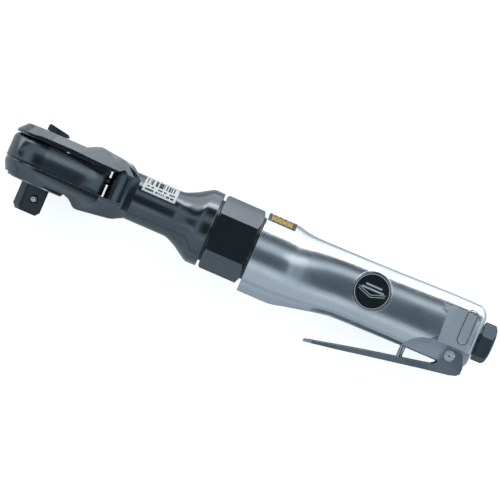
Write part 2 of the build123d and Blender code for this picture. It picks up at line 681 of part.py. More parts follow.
keep("handle_housing", make_housing())
badge = rod_z(BADGE_RADIUS, BADGE_FACE_Z - 0.7, BADGE_FACE_Z, *BADGE_CENTRE)
keep("badge", badge)
keep("spec_label", band_x(20.83, 20.98, HOUSING_FRONT + 0.4, 135.5, 55, 125))
keep("barcode_label", band_x(NECK_RADIUS, NECK_RADIUS + 0.15, 52.6, 71.6, 22.6, 157.4))


# ---- throttle ----
def lever_outline():
    """The lever from the side: hinge ears behind, a long channel and a flat tongue in front."""
    lower = [
        (162.3, -34.5), (180.5, -31.3), (194.9, -28.5), (210.9, -25.5), (226.3, -22.6),
        (239.9, -20.3), (243.3, -19.2), (245.1, -17.6),
    ]
    ears = [(245.2, -14.4), (243.6, -9.4), (242.4, -7.4), (240.8, -6.7), (234.6, -6.7), (233.2, -7.6)]
    upper = [
        (232.6, -9.4), (231.6, -16.6), (229.6, -18.2), (224.7, -19.3), (207.7, -22.8),
        (194.9, -25.5), (180.5, -28.8), (168.5, -31.6), (167.6, -31.8), (162.3, -32.9),
    ]
    return lower + ears + upper


def lever_hollow():
    """What is taken out between the lever's sides, leaving the web and the heel."""
    t = LEVER_THICKNESS
    floor = [
        (160.0, -34.9 + t), (162.3, -34.5 + t), (180.5, -31.3 + t), (194.9, -28.5 + t),
        (210.9, -25.5 + t), (226.3, -22.6 + t), (239.9, -20.3 + t), (242.4, -19.3 + t),
        (243.4, -17.4), (243.4, 0), (160, 0),
    ]
    return side_slab(floor, -EAR_INSIDE, EAR_INSIDE)


def make_lever():
    """The pressed-steel throttle lever."""
    lever = side_slab(lever_outline(), -LEVER_HALF_WIDTH, LEVER_HALF_WIDTH)
    lever -= lever_hollow()
    lever -= block(230, 250, -16.9, 0, -EAR_INSIDE, EAR_INSIDE)
    lever -= rod_z(1.95, -20, 20, *LEVER_PIVOT)
    tongue = [(160, -40), (168.2, -40), (168.2, -28), (160, -28)]
    nose = make_face([
        Line((168.2, -12), (168.2, 12)), Line((168.2, 12), (166.5, LEVER_HALF_WIDTH)),
        ThreePointArc((166.5, LEVER_HALF_WIDTH), (162.3, 0), (166.5, -LEVER_HALF_WIDTH)),
        Line((166.5, -LEVER_HALF_WIDTH), (168.2, -12)),
    ])
    rest = side_slab([(168.2, -40), (250, -40), (250, 0), (168.2, 0)], -20, 20)
    tip = side_slab(tongue, -20, 20) & extrude(plan_plane(-45) * nose, 40, dir=(0, 1, 0))
    return lever & (rest + tip)


keep("throttle_lever", make_lever())
screw = rod_z(LEVER_SCREW_RADIUS, -13.0, 12.6, *LEVER_PIVOT)
screw += rod_z(3.0, LEVER_HALF_WIDTH + 0.15, 12.9, *LEVER_PIVOT)
keep("lever_screw", screw)
nut = Pos(LEVER_PIVOT[0], LEVER_PIVOT[1], -13.2) * extrude(RegularPolygon(3.2, 6), 1.9)
keep("lever_nut", nut - rod_z(LEVER_SCREW_RADIUS, -14, -10, *LEVER_PIVOT))

bush = rod_y(BUSHING_BORE, -15.7, -9.0, x=VALVE_X) - rod_y(STEM_RADIUS + RUNNING_GAP, -30, 0, x=VALVE_X)
keep("valve_bushing", bush)
seat = rod_y(VALVE_BORE, -9.0, -5.2, x=VALVE_X) - rod_y(2.6, -20, 0, x=VALVE_X)
keep("valve_seat", seat)
keep("stem_o_ring", Pos(VALVE_X, -8.5, 0) * Rot(90, 0, 0) * Torus(2.1, 0.42))
stem = rod_y(STEM_RADIUS, STEM_TIP_Y + 1.0, -4.0, x=VALVE_X)
stem += Pos(VALVE_X, STEM_TIP_Y + STEM_RADIUS, 0) * Sphere(STEM_RADIUS)
stem += rod_y(4.2, -5.0, -3.4, x=VALVE_X) + rod_y(2.2, -3.6, POPPET_TOP, x=VALVE_X)
keep("valve_stem", stem)
spring = coil(3.2, 0.45, 5, SPRING_TOP + 3.3)
keep("valve_spring", Pos(VALVE_X, -3.35, 0) * Rot(-90, 0, 0) * spring)


# ---- air inlet ----
def make_inlet():
    """The inlet bushing: a threaded shank, a hexagon head with a domed end and an open bore."""
    hexagon = RegularPolygon(11.17, 6, rotation=74.3)
    head = along_x(hexagon, 247.7, INLET_END, y=INLET_Y)
    head &= turned_x([
        (247.7, 10.5), (248.3, 11.3), (253.3, 11.3), (253.9, 10.6), (254.9, 9.2), (INLET_END, 7.0),
    ], y=INLET_Y)
    shank = rod_x(INLET_SHANK_RADIUS, 231.0, 248, y=INLET_Y)
    body = head + shank
    body -= rod_x(INLET_THREAD_RADIUS, INLET_END - INLET_THREAD_DEPTH, 260, y=INLET_Y)
    body -= rod_x(INLET_PASSAGE_RADIUS, 228, 250, y=INLET_Y)
    return body


keep("inlet_bushing", make_inlet())
screen = rod_x(INLET_PASSAGE_RADIUS - 0.05, 232.0, 233.2, y=INLET_Y)
for k in range(6):
    a = math.radians(60 * k)
    screen -= rod_x(0.7, 230, 235, y=INLET_Y + 2.4 * math.sin(a), z=2.4 * math.cos(a))
keep("inlet_screen", screen)
for side, z in (("a", EXHAUST_Z), ("b", -EXHAUST_Z)):
    plug = rod_x(EXHAUST_RADIUS, 240.0, HOUSING_BACK - 0.5, y=EXHAUST_Y, z=z)
    keep(f"exhaust_muffler_{side}", plug)

os.makedirs("parts", exist_ok=True)
for name, shape in PARTS.items():
    shape.label = name
    export_step(shape, f"parts/{name}.step")
print(len(PARTS), "nodes written")
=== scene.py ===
# %% [markdown]
# # An air ratchet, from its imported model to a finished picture
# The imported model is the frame: every piece already sits where it belongs, in metres, with the
# tool lying on its side. +X runs from the square drive to the air inlet, +Y is the side of the
# reverse knob, and +Z is up. The looks are built around that frame and never move it.

# %% Load the frame
import json
import math

import bmesh
import bpy
from mathutils import Matrix, Vector


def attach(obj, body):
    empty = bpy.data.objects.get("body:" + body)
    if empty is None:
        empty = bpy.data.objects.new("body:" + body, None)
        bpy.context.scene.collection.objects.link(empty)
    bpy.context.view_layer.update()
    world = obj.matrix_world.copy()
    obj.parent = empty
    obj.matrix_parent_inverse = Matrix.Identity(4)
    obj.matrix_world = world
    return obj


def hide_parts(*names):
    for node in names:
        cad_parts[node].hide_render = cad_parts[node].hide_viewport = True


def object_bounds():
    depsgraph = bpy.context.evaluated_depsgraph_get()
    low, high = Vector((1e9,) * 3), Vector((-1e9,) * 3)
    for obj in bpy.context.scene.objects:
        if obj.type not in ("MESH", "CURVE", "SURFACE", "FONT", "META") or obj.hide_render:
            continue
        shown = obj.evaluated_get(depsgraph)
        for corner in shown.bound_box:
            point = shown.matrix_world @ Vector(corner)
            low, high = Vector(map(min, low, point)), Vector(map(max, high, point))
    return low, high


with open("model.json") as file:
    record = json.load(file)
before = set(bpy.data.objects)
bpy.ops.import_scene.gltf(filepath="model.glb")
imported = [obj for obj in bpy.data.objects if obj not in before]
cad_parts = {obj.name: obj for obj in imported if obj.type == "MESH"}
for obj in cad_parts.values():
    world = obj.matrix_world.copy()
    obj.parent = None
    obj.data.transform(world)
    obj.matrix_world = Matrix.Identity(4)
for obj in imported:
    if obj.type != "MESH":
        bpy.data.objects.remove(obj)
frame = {"nodes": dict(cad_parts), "record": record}
cad_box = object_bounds()
nodes = frame["nodes"]
scene = bpy.context.scene
MM = 0.001
node_body = {n: b for b, ns in frame["record"]["behaviour"]["bodies"].items() for n in ns}
node_slot = {s["node"]: s["material_slot"] for s in frame["record"]["subparts"]}

# %% [markdown]
# ## The camera
# A long lens from straight above shows the tool as a side view with almost no perspective. The
# camera is rolled, so the tool lies across the picture with its inlet end low on the right.

# %% Place the camera
TOOL_ROLL = math.radians(23.5)
VIEW_CENTRE = Vector((117.7, -1.45, 0)) * MM
VIEW_WIDTH = 265.0 * MM
CAMERA_HEIGHT = 1.6

lens = bpy.data.cameras.new("tool_camera")
lens.sensor_width = 36.0
lens.lens = lens.sensor_width * CAMERA_HEIGHT / VIEW_WIDTH
lens.clip_start = 0.01
camera = bpy.data.objects.new("tool_camera", lens)
scene.collection.objects.link(camera)
camera.location = VIEW_CENTRE + Vector((0, 0, CAMERA_HEIGHT))
camera.rotation_euler = (0, 0, TOOL_ROLL)
scene.camera = camera
print("lens", round(lens.lens, 1), "mm")

# %% [markdown]
# ## Node helpers
# Every finish is a small node tree. Three short helpers keep the trees readable: one adds a node
# and fills its inputs, one makes a group with named sockets, and one starts a material. Effects
# that several finishes share (edge wear, grain, smudges) are groups, and each group only puts
# out a mask or a height, so the shader itself stays in the material.

# %% Helpers for node trees
def add(tree, kind, inputs=None, **settings):
    """Add a node, set its properties, and fill or link its inputs by name or number."""
    node = tree.nodes.new("ShaderNode" + kind)
    for key, value in settings.items():
        setattr(node, key, value)
    for key, value in (inputs or {}).items():
        if isinstance(value, bpy.types.NodeSocket):
            tree.links.new(value, node.inputs[key])
        else:
            node.inputs[key].default_value = value
    return node


def maths(tree, operation, a, b=0.5, clamp=False):
    """One Math node, given sockets or numbers."""
    return add(tree, "Math", {0: a, 1: b}, operation=operation, use_clamp=clamp).outputs[0]


def step_between(tree, value, low, high):
    """A smooth 0 to 1 ramp of a value between two limits."""
    ramp = add(tree, "MapRange", {"Value": value, "From Min": low, "From Max": high})
    ramp.interpolation_type = "SMOOTHSTEP"
    return ramp.outputs[0]


def mix_colour(tree, factor, first, second):
    """Mix two colours by a factor."""
    node = tree.nodes.new("ShaderNodeMix")
    node.data_type = "RGBA"
    for socket, value in ((node.inputs[0], factor), (node.inputs[6], first), (node.inputs[7], second)):
        if isinstance(value, bpy.types.NodeSocket):
            tree.links.new(value, socket)
        else:
            socket.default_value = value
    return node.outputs[2]


def new_group(name, inputs, outputs):
    """A shader node group with named float inputs and outputs."""
    group = bpy.data.node_groups.new(name, "ShaderNodeTree")
    for label, value in inputs.items():
        socket = group.interface.new_socket(label, in_out="INPUT", socket_type="NodeSocketFloat")
        socket.default_value = value
    for label in outputs:
        group.interface.new_socket(label, in_out="OUTPUT", socket_type="NodeSocketFloat")
    start = group.nodes.new("NodeGroupInput")
    end = group.nodes.new("NodeGroupOutput")
    return group, start, end


def use_group(tree, group, **inputs):
    """Place a group in a tree; underscores in the names stand for spaces."""
    node = tree.nodes.new("ShaderNodeGroup")
    node.node_tree = group
    for key, value in inputs.items():
        node.inputs[key.replace("_", " ")].default_value = value
    return node


def start_material(name):
    """A material with its shader; returns the material, its tree and the shader."""
    material = bpy.data.materials.new(name)
    material.use_nodes = True
    tree = material.node_tree
    return material, tree, tree.nodes["Principled BSDF"]


def set_fixed(shader, **values):
    """Constants straight on the shader's sockets."""
    for key, value in values.items():
        shader.inputs[key.replace("_", " ")].default_value = value


def rgb(red, green, blue):
    return (red, green, blue, 1.0)


print("helpers ready")

# %% [markdown]
# ## Shared effects
# **Edge wear** compares the true normal with a rounded one: they differ only near an edge, and
# noise breaks the mask up as handling does. **Grain** is a fine height for cast, sprayed or
# machined skin. **Smudge** is a slow change of roughness, like fingerprints and wiping marks.
# **Brushing** is noise stretched along the tool, for metal that was polished lengthwise.

# %% Build the effect groups
def build_edge_wear():
    group, start, end = new_group("edge_wear", {"Radius": 0.0006, "Scale": 900.0, "Amount": 1.0}, ["Mask"])
    rounded = add(group, "Bevel", {"Radius": start.outputs["Radius"]}, samples=6)
    true = add(group, "NewGeometry")
    dot = add(group, "VectorMath", {0: rounded.outputs[0], 1: true.outputs["Normal"]},
              operation="DOT_PRODUCT")
    edge = step_between(group, maths(group, "SUBTRACT", 1.0, dot.outputs["Value"]), 0.02, 0.25)
    place = add(group, "TexCoord")
    noise = add(group, "TexNoise", {"Vector": place.outputs["Object"], "Scale": start.outputs["Scale"],
                                    "Detail": 6.0, "Roughness": 0.65})
    broken = step_between(group, noise.outputs["Fac"], 0.42, 0.62)
    patchy = maths(group, "MULTIPLY", edge, broken)
    worn = maths(group, "MULTIPLY", patchy, start.outputs["Amount"], clamp=True)
    group.links.new(worn, end.inputs["Mask"])
    return group


def build_grain():
    group, start, end = new_group("grain", {"Scale": 3000.0, "Contrast": 1.0}, ["Height", "Fleck"])
    place = add(group, "TexCoord")
    fine = add(group, "TexNoise", {"Vector": place.outputs["Object"], "Scale": start.outputs["Scale"],
                                   "Detail": 3.0, "Roughness": 0.6})
    coarse_scale = maths(group, "MULTIPLY", start.outputs["Scale"], 0.22)
    coarse = add(group, "TexNoise", {"Vector": place.outputs["Object"], "Scale": coarse_scale, "Detail": 2.0})
    both = maths(group, "ADD", maths(group, "MULTIPLY", fine.outputs["Fac"], 0.6),
                 maths(group, "MULTIPLY", coarse.outputs["Fac"], 0.4))
    group.links.new(maths(group, "MULTIPLY", both, start.outputs["Contrast"]), end.inputs["Height"])
    group.links.new(step_between(group, fine.outputs["Fac"], 0.58, 0.74), end.inputs["Fleck"])
    return group


def build_smudge():
    group, start, end = new_group("smudge", {"Scale": 60.0, "Low": 0.1, "High": 0.2}, ["Roughness", "Mask"])
    place = add(group, "TexCoord")
    slow = add(group, "TexNoise", {"Vector": place.outputs["Object"], "Scale": start.outputs["Scale"],
                                   "Detail": 5.0, "Roughness": 0.7, "Distortion": 0.6})
    mask = step_between(group, slow.outputs["Fac"], 0.35, 0.7)
    span = maths(group, "SUBTRACT", start.outputs["High"], start.outputs["Low"])
    rough = maths(group, "ADD", maths(group, "MULTIPLY", mask, span), start.outputs["Low"])
    group.links.new(rough, end.inputs["Roughness"])
    group.links.new(mask, end.inputs["Mask"])
    return group


def build_brushing():
    group, start, end = new_group("brushing", {"Along": 25.0, "Across": 2600.0}, ["Height", "Mask"])
    place = add(group, "TexCoord")
    scale = add(group, "CombineXYZ", {"X": start.outputs["Along"], "Y": start.outputs["Across"],
                                      "Z": start.outputs["Across"]})
    stretched = add(group, "VectorMath", {0: place.outputs["Object"], 1: scale.outputs[0]},
                    operation="MULTIPLY")
    lines = add(group, "TexNoise", {"Vector": stretched.outputs[0], "Scale": 1.0, "Detail": 3.0,
                                    "Roughness": 0.55})
    group.links.new(lines.outputs["Fac"], end.inputs["Height"])
    group.links.new(step_between(group, lines.outputs["Fac"], 0.45, 0.7), end.inputs["Mask"])
    return group


edge_wear = build_edge_wear()
grain = build_grain()
smudge = build_smudge()
brushing = build_brushing()
print("groups", [g.name for g in bpy.data.node_groups])

# %% [markdown]
# ## Metal finishes
# The head and nut are a glossy black coating: a dark base under a clear coat, so facets that face
# a dark part of the room go nearly black and facets that face a light panel go blue-grey. The
# handle is cast aluminium polished lengthwise. One function makes all the bare metals, because
# they differ only in colour, gloss, grain and wear.

# %% Make the metals
def metal(name, colour, rough, metallic=1.0, worn=(0.8, 0.8, 0.8), wear=0.5, grain_scale=3500.0,
          bump=0.05, brush=None, coat=0.0, dirt=0.82, rounding=0.4):
    """A metal with slow smudges, fine grain or brushing, and brighter worn edges."""
    material, tree, shader = start_material(name)
    marks = use_group(tree, smudge, Scale=45.0, Low=rough[0], High=rough[1])
    skin = use_group(tree, grain, Scale=grain_scale)
    edges = use_group(tree, edge_wear, Amount=wear)
    dark = rgb(*[c * dirt for c in colour])
    base = mix_colour(tree, marks.outputs["Mask"], rgb(*colour), dark)
    if brush:
        lines = use_group(tree, brushing, Along=brush[0], Across=brush[1])
        base = mix_colour(tree, maths(tree, "MULTIPLY", lines.outputs["Mask"], 0.25), base, dark)
        height = lines.outputs["Height"]
    else:
        height = skin.outputs["Height"]
    base = mix_colour(tree, edges.outputs["Mask"], base, rgb(*worn))
    tree.links.new(base, shader.inputs["Base Color"])
    tree.links.new(marks.outputs["Roughness"], shader.inputs["Roughness"])
    soft = add(tree, "Bevel", {"Radius": rounding * MM}, samples=4)
    relief = add(tree, "Bump", {"Height": height, "Strength": bump, "Distance": 0.0002,
                                "Normal": soft.outputs["Normal"]})
    tree.links.new(relief.outputs["Normal"], shader.inputs["Normal"])
    set_fixed(shader, Metallic=metallic, Coat_Weight=coat, Coat_Roughness=0.06, Coat_IOR=1.6)
    return material


finishes = {
    "black_enamel": metal("black_enamel", (0.125, 0.145, 0.160), (0.12, 0.20), worn=(0.36, 0.40, 0.42),
                          wear=0.5, bump=0.05, grain_scale=900.0, coat=1.0),
    "black_oxide": metal("black_oxide", (0.085, 0.092, 0.098), (0.28, 0.40), worn=(0.32, 0.34, 0.35),
                         wear=0.6, bump=0.15, grain_scale=2600.0),
    "cast_aluminium": metal("cast_aluminium", (0.86, 0.90, 0.92), (0.19, 0.27), worn=(0.93, 0.94, 0.95),
                            wear=0.0, bump=0.02, brush=(30.0, 1500.0), dirt=0.93),
    "zinc_steel": metal("zinc_steel", (0.74, 0.81, 0.85), (0.22, 0.34), worn=(0.82, 0.86, 0.88),
                        wear=0.6, bump=0.05, brush=(60.0, 2400.0), dirt=0.8),
    "bright_steel": metal("bright_steel", (0.76, 0.79, 0.81), (0.12, 0.22), bump=0.03, wear=0.2),
    "machined_steel": metal("machined_steel", (0.50, 0.52, 0.54), (0.24, 0.36), bump=0.05, wear=0.3),
    "polished_ball": metal("polished_ball", (0.82, 0.83, 0.84), (0.06, 0.12), bump=0.01, wear=0.0),
    "bronze": metal("bronze", (0.55, 0.38, 0.20), (0.36, 0.5), worn=(0.75, 0.55, 0.3), bump=0.3),
    "dark_plating": metal("dark_plating", (0.085, 0.105, 0.120), (0.26, 0.38), worn=(0.34, 0.37, 0.4),
                          wear=0.6, bump=0.1, grain_scale=2200.0),
}
cast_matte = metal("cast_matte", (0.80, 0.85, 0.88), (0.42, 0.56), worn=(0.85, 0.87, 0.88), wear=0.4,
                   bump=0.5, grain_scale=2600.0, dirt=0.88)
cast_shadow = metal("cast_shadow", (0.26, 0.31, 0.34), (0.45, 0.6), worn=(0.6, 0.64, 0.66), wear=0.5,
                    bump=0.5, grain_scale=2600.0)
rounded_enamel = metal("rounded_enamel", (0.125, 0.145, 0.160), (0.12, 0.20), worn=(0.36, 0.40, 0.42),
                       wear=0.4, bump=0.05, grain_scale=900.0, coat=1.0, rounding=2.6)
print("finishes", sorted(finishes))

# %% [markdown]
# ## Rubber, resin and films
# These are not metal: the rubber and the blade resin are matte with a coarse grain, and the
# badge and the two labels are printed films with a soft gloss. The printed marks are plain bars
# and cells, placed by the piece's own coordinates, so they stay put from every side.

# %% Make the plain non-metals
def moulded(name, colour, rough, bump):
    """A rubber or plastic skin with grain and pale flecks."""
    material, tree, shader = start_material(name)
    skin = use_group(tree, grain, Scale=2400.0)
    marks = use_group(tree, smudge, Scale=80.0, Low=rough, High=rough + 0.15)
    pale = rgb(*[min(c * 1.6 + 0.01, 1) for c in colour])
    tree.links.new(mix_colour(tree, maths(tree, "MULTIPLY", skin.outputs["Fleck"], 0.5), rgb(*colour), pale),
                   shader.inputs["Base Color"])
    tree.links.new(marks.outputs["Roughness"], shader.inputs["Roughness"])
    relief = add(tree, "Bump", {"Height": skin.outputs["Height"], "Strength": bump, "Distance": 0.0002})
    tree.links.new(relief.outputs["Normal"], shader.inputs["Normal"])
    return material


finishes["rubber"] = moulded("rubber", (0.03, 0.03, 0.032), 0.6, 0.3)
finishes["blade_resin"] = moulded("blade_resin", (0.22, 0.12, 0.06), 0.5, 0.4)

print("moulded finishes ready")

# %% [markdown]
# ## Printed films
# Every mark on a film is made from the piece's own X and Y. A mark is a range that is 1 inside
# two limits and 0 outside, and bar widths are picked at random per bar, so nothing can be read.
# The badge is a black disc with a pale ring, two bars and two bent lines.

# %% Make the printed films
def film(name, paint):
    """A printed film: paint(tree, place) gives its colour from the piece's own coordinates."""
    material, tree, shader = start_material(name)
    place = add(tree, "SeparateXYZ", {0: add(tree, "TexCoord").outputs["Object"]})
    tree.links.new(paint(tree, place), shader.inputs["Base Color"])
    marks = use_group(tree, smudge, Scale=120.0, Low=0.24, High=0.4)
    tree.links.new(marks.outputs["Roughness"], shader.inputs["Roughness"])
    skin = use_group(tree, grain, Scale=1800.0)
    relief = add(tree, "Bump", {"Height": skin.outputs["Height"], "Strength": 0.06, "Distance": 0.0002})
    tree.links.new(relief.outputs["Normal"], shader.inputs["Normal"])
    return material


def inside(tree, value, low, high):
    """1 where a value lies between two limits, else 0."""
    above = maths(tree, "GREATER_THAN", value, low)
    return maths(tree, "MULTIPLY", above, maths(tree, "LESS_THAN", value, high))


def random_bars(tree, value, width, share, seed):
    """1 on a random share of equal bars along a value."""
    index = maths(tree, "FLOOR", maths(tree, "DIVIDE", value, width))
    pick = add(tree, "TexWhiteNoise", {"W": maths(tree, "ADD", index, seed)}, noise_dimensions="1D")
    return maths(tree, "LESS_THAN", pick.outputs["Value"], share)


BADGE_CENTRE = (185.1, 4.1)


def paint_bars(tree, place):
    """White film with a block of bars near its top edge and rows of small plain dashes."""
    x, y = place.outputs["X"], place.outputs["Y"]
    middle = inside(tree, x, 0.0538, 0.0704)
    bars = maths(tree, "MULTIPLY", random_bars(tree, x, 0.00034, 0.58, 3.0), inside(tree, y, 0.0094, 0.0122))
    row = maths(tree, "MULTIPLY", random_bars(tree, x, 0.0008, 0.6, 11.0), inside(tree, y, 0.0078, 0.0086))
    dashes = random_bars(tree, x, 0.0006, 0.55, 29.0)
    low_row = maths(tree, "MULTIPLY", dashes, inside(tree, y, 0.0060, 0.0070))
    marks = maths(tree, "ADD", maths(tree, "ADD", bars, row), low_row, clamp=True)
    marks = maths(tree, "MULTIPLY", marks, middle)
    return mix_colour(tree, marks, rgb(0.95, 0.96, 0.95), rgb(0.04, 0.05, 0.06))


def paint_cells(tree, place):
    """Dark film with a row of amber cells, each with plain marks."""
    x, y = place.outputs["X"], place.outputs["Y"]
    band = inside(tree, x, 0.1214, 0.1335)
    along = maths(tree, "FRACT", maths(tree, "DIVIDE", maths(tree, "SUBTRACT", x, 0.1214), 0.0030))
    cell = maths(tree, "MULTIPLY", band, inside(tree, along, 0.05, 0.95))
    edge = maths(tree, "MULTIPLY", cell, maths(tree, "GREATER_THAN", y, 0.0176))
    mark = maths(tree, "MULTIPLY", inside(tree, along, 0.3, 0.72), random_bars(tree, y, 0.0006, 0.5, 5.0))
    amber = mix_colour(tree, mark, rgb(0.62, 0.42, 0.07), rgb(0.12, 0.09, 0.04))
    return mix_colour(tree, edge, rgb(0.06, 0.08, 0.09), amber)


def paint_badge(tree, place):
    """Black disc with a thin pale ring, two plain bars and a chevron line below them."""
    x = maths(tree, "SUBTRACT", place.outputs["X"], BADGE_CENTRE[0] * MM)
    y = maths(tree, "SUBTRACT", place.outputs["Y"], BADGE_CENTRE[1] * MM)
    reach = maths(tree, "SQRT", maths(tree, "ADD", maths(tree, "POWER", maths(tree, "ABSOLUTE", x), 2.0),
                                      maths(tree, "POWER", maths(tree, "ABSOLUTE", y), 2.0)))
    ring = inside(tree, reach, 0.0090, 0.00945)
    marks = maths(tree, "MULTIPLY", inside(tree, x, -0.0046, 0.0046), inside(tree, y, 0.0024, 0.0034))
    low_marks = maths(tree, "MULTIPLY", inside(tree, x, -0.0062, 0.0062), inside(tree, y, 0.0004, 0.0014))
    bent = maths(tree, "SUBTRACT", y, maths(tree, "MULTIPLY", maths(tree, "ABSOLUTE", x), 0.35))
    lines = maths(tree, "ADD", inside(tree, bent, -0.0022, -0.0018), inside(tree, bent, -0.0034, -0.0030))
    lines = maths(tree, "MULTIPLY", lines, maths(tree, "LESS_THAN", reach, 0.0076))
    bars = maths(tree, "ADD", maths(tree, "ADD", marks, low_marks), lines)
    light = maths(tree, "ADD", ring, bars, clamp=True)
    return mix_colour(tree, light, rgb(0.012, 0.015, 0.018), rgb(0.62, 0.68, 0.70))


finishes["badge_black"] = film("badge_black", paint_badge)
finishes["white_label"] = film("white_label", paint_bars)
finishes["yellow_label"] = film("yellow_label", paint_cells)
print("films ready")

# %% [markdown]
# ## The stage
# The floor is a plain pale sheet just under the tool. Polished metal is seen by what it
# reflects, so the room is built as long soft bands that run along the tool: dim right overhead,
# paler strips on each shoulder and past each end, a dark gap, and a bright wall low down on the
# knob's side. The
# floor is lifted a little for the camera, so it reads as white paper, and its far side glows in
# reflections as if a low lamp lit it from there.

# %% Lay the floor
FLOOR_GAP = 0.0002
sheet_mesh = bpy.data.meshes.new("floor_sheet")
sheet = bmesh.new()
bmesh.ops.create_grid(sheet, x_segments=1, y_segments=1, size=4.0)
bmesh.ops.translate(sheet, verts=sheet.verts, vec=(0.1, 0, cad_box[0][2] - FLOOR_GAP))
sheet.to_mesh(sheet_mesh)
sheet.free()
floor = bpy.data.objects.new("floor_sheet", sheet_mesh)
scene.collection.objects.link(floor)
floor_paint, floor_tree, floor_shader = start_material("pale_floor")
mottle = use_group(floor_tree, smudge, Scale=2.0, Low=0.75, High=0.85)
floor_tree.links.new(mottle.outputs["Roughness"], floor_shader.inputs["Roughness"])
paper = mix_colour(floor_tree, mottle.outputs["Mask"], rgb(0.93, 0.94, 0.94), rgb(0.91, 0.92, 0.92))
floor_tree.links.new(paper, floor_shader.inputs["Base Color"])
ray = add(floor_tree, "LightPath")
across = add(floor_tree, "SeparateXYZ", {0: add(floor_tree, "TexCoord").outputs["Object"]}).outputs["Y"]
glow = maths(floor_tree, "MULTIPLY", step_between(floor_tree, across, 0.046, 0.068), 0.65)
glow = maths(floor_tree, "MULTIPLY", glow, ray.outputs["Is Glossy Ray"])
lift = maths(floor_tree, "ADD", maths(floor_tree, "MULTIPLY", ray.outputs["Is Camera Ray"], 0.75), glow)
floor_tree.links.new(lift, floor_shader.inputs["Emission Strength"])
set_fixed(floor_shader, Emission_Color=rgb(1, 1, 1), Specular_IOR_Level=0.1)
floor.data.materials.append(floor_paint)
print("floor at", round(cad_box[0][2], 4))

# %% [markdown]
# ## The light
# The room is a ramp round the tool's long axis, so each band lights one lean of the surface. A
# panel low on the knob's side lights the floor there, and one soft lamp past the shoulder makes
# the round highlight on the handle's waist, where the surface leans towards it.

# %% Light the room
# Each band: degrees from straight up (positive on the knob's side) and brightness.
ROOM_BANDS = (
    (-180, 0.40), (-110, 0.46), (-92, 0.26), (-75, 0.46), (-60, 0.44), (-48, 0.46), (-34, 0.62),
    (-24, 0.42), (-15, 0.10), (0, 0.085), (11, 0.13), (20, 0.48), (30, 0.56), (38, 0.24), (46, 0.08),
    (60, 0.07), (68, 0.60), (76, 1.6), (98, 1.6), (112, 0.8), (180, 0.40),
)
BAND_TINT = (0.68, 0.95, 1.20)
END_GLOW = (0.40, 0.50, 0.60)

room = bpy.data.worlds.new("banded_room")
room.use_nodes = True
room_tree = room.node_tree
direction = add(room_tree, "SeparateXYZ", {0: add(room_tree, "TexCoord").outputs["Generated"]})
lean = maths(room_tree, "ARCTAN2", direction.outputs["Y"], direction.outputs["Z"])
turn = maths(room_tree, "ADD", maths(room_tree, "DIVIDE", lean, 2 * math.pi), 0.5)
bands = add(room_tree, "ValToRGB", {"Fac": turn})
ramp = bands.color_ramp
ramp.interpolation = "EASE"
while len(ramp.elements) > 1:
    ramp.elements.remove(ramp.elements[-1])
for k, (degrees, level) in enumerate(ROOM_BANDS):
    stop = ramp.elements[0] if k == 0 else ramp.elements.new(degrees / 360 + 0.5)
    stop.position = degrees / 360 + 0.5
    white = min(level, 1.0)
    stop.color = rgb(*[level * (c + (1 - c) * white) for c in BAND_TINT])
ends = step_between(room_tree, maths(room_tree, "ABSOLUTE", direction.outputs["X"]), 0.22, 0.6)
above = step_between(room_tree, direction.outputs["Z"], 0.3, 0.7)
past_ends = maths(room_tree, "MULTIPLY", ends, above)
with_ends = mix_colour(room_tree, past_ends, bands.outputs["Color"], rgb(*END_GLOW))
room_tree.links.new(with_ends, room_tree.nodes["Background"].inputs["Color"])
scene.world = room

AIM = Vector((0.117, 0, 0))


def light_panel(name, place, size, watts):
    """A soft rectangular light that faces the middle of the tool."""
    data = bpy.data.lights.new(name, "AREA")
    data.shape = "RECTANGLE"
    data.size, data.size_y = size
    data.energy = watts
    light = bpy.data.objects.new(name, data)
    scene.collection.objects.link(light)
    light.location = place
    light.rotation_euler = (AIM - Vector(place)).to_track_quat("-Z", "Y").to_euler()
    return light


light_panel("knob_side_panel", (0.117, 1.0, 0.32), (2.4, 0.3), 4.0)
light_panel("shoulder_lamp", (0.72, 0.62, 1.5), (0.6, 0.6), 0.45)
scene.view_settings.view_transform = "Standard"

# %% [markdown]
# ## The carried-over pieces
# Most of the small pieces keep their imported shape: washers, gears, bearings, springs, pins and
# the motor inside. They only need a real finish. The record names a finish for each node, so one
# loop gives every node the finish of its slot.

# %% Give every carried-over piece its finish
for name, piece in nodes.items():
    piece.data.materials.clear()
    piece.data.materials.append(finishes[node_slot[name]])
print("slots used", sorted(set(node_slot.values())))

# %% [markdown]
# ## Pieces with softened edges
# No forged, cast or pressed piece has a knife edge: the catch-light along each rounded edge is
# what makes it look solid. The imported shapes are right, so each of these pieces is a copy of its
# node. The copy's doubles are merged and its flat triangles dissolved into whole faces, and then
# a Bevel modifier rounds every edge that is sharp enough.

# %% Soften a copy of a node
def link_piece(name, mesh, body, replaced=()):
    """Put a finished mesh in the scene on a body, and hide the nodes it stands for."""
    piece = bpy.data.objects.new(name, mesh)
    scene.collection.objects.link(piece)
    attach(piece, body)
    if replaced:
        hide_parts(*replaced)
    return piece


